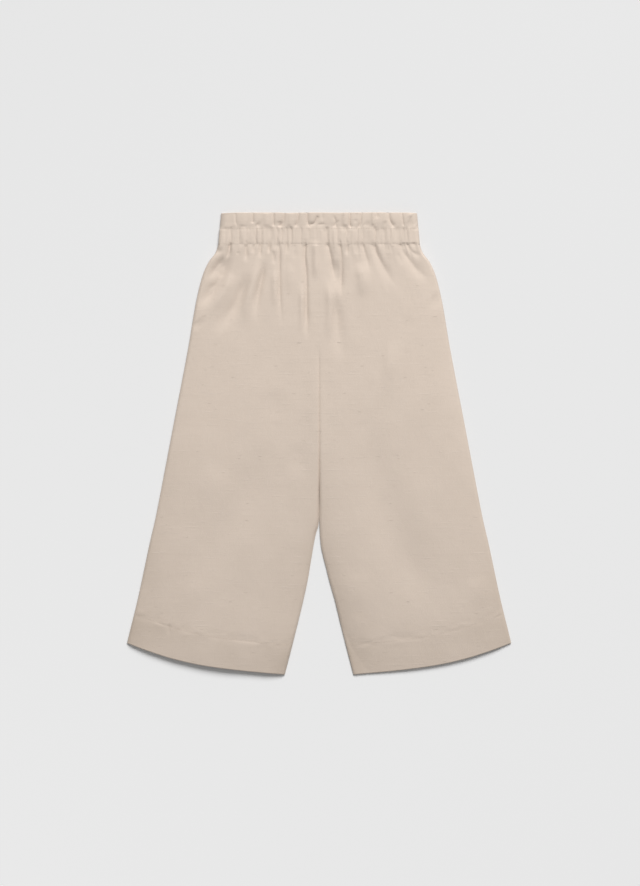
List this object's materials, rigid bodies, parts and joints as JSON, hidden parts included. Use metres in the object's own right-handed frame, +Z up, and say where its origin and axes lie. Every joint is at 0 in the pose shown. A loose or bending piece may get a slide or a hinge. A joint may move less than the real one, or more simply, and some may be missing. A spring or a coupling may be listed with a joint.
{
  "type": "culottes",
  "caption": "Child's wide-leg linen culottes laid flat, front up, with a gathered paperbag waistband, elastic casing, A-line legs and stitched turned-up hems.",
  "frame": {"origin": "on the surface under the middle of the laid garment's outline", "axes": "+Y from the hems to the waist, +Z up out of the front, +X towards the wearer's left leg"},
  "size_m": [0.4414, 0.5308, 0.0089],
  "materials": {
    "linen": "matt plain weave with fine slubs",
    "elastic": "matt woven elastic"
  },
  "bodies": {
    "root": {"front_leg_right": "linen", "front_leg_left": "linen", "back_leg_right": "linen", "back_leg_left": "linen", "waistband_front": "linen", "waistband_back": "linen", "elastic_front": "elastic", "elastic_back": "elastic"}
  },
  "joints": []
}
